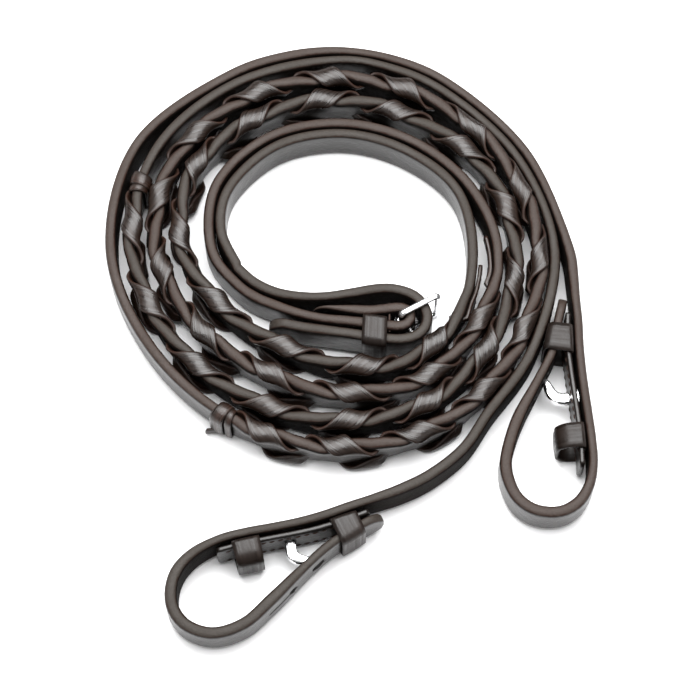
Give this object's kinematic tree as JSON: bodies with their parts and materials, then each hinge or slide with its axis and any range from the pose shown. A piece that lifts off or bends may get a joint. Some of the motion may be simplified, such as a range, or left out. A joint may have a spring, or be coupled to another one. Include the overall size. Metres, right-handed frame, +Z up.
{
  "type": "laced leather reins",
  "caption": "Pair of laced leather riding reins coiled on edge, with hook-stud bit loops, fixed keepers and a centre buckle joining the halves.",
  "frame": {"origin": "on the floor plane, at the middle of the bounding box of the whole coil", "axes": "+Z up out of the floor the straps stand on; +X to the right and +Y away, seen with the two bit loops nearest"},
  "size_m": [0.194, 0.2509, 0.021],
  "materials": {
    "leather_right": "satin",
    "leather_left": "satin",
    "lace_leather": "satin",
    "polished_steel": "polished",
    "waxed_thread": "matte"
  },
  "bodies": {
    "reins": {"right_rein": "leather_right", "right_lace_upper": "lace_leather", "right_lace_lower": "lace_leather", "right_lace_binding": "lace_leather", "right_chape": "leather_right", "right_hook_stud": "polished_steel", "right_keeper_tip": "leather_right", "right_keeper_loop": "leather_right", "right_chape_stitching": "waxed_thread", "left_rein": "leather_left", "left_lace_upper": "lace_leather", "left_lace_lower": "lace_leather", "left_lace_binding": "lace_leather", "left_chape": "leather_left", "left_hook_stud": "polished_steel", "left_keeper_tip": "leather_left", "left_keeper_loop": "leather_left", "left_chape_stitching": "waxed_thread", "buckle_keeper": "leather_right", "buckle_stitching": "waxed_thread"},
    "frame": {"buckle_frame": "polished_steel"},
    "tongue": {"buckle_tongue": "polished_steel"}
  },
  "joints": [
    {"name": "buckle_frame_swing", "type": "hinge", "parent": "reins", "child": "frame", "pos_m": [0.02109, 0.00417, 0.0105], "axis": [0, 0, 1], "range_deg": [-25, 80]},
    {"name": "buckle_tongue_swing", "type": "hinge", "parent": "reins", "child": "tongue", "pos_m": [0.02109, 0.00417, 0.0105], "axis": [0, 0, 1], "range_deg": [-3, 5]}
  ]
}
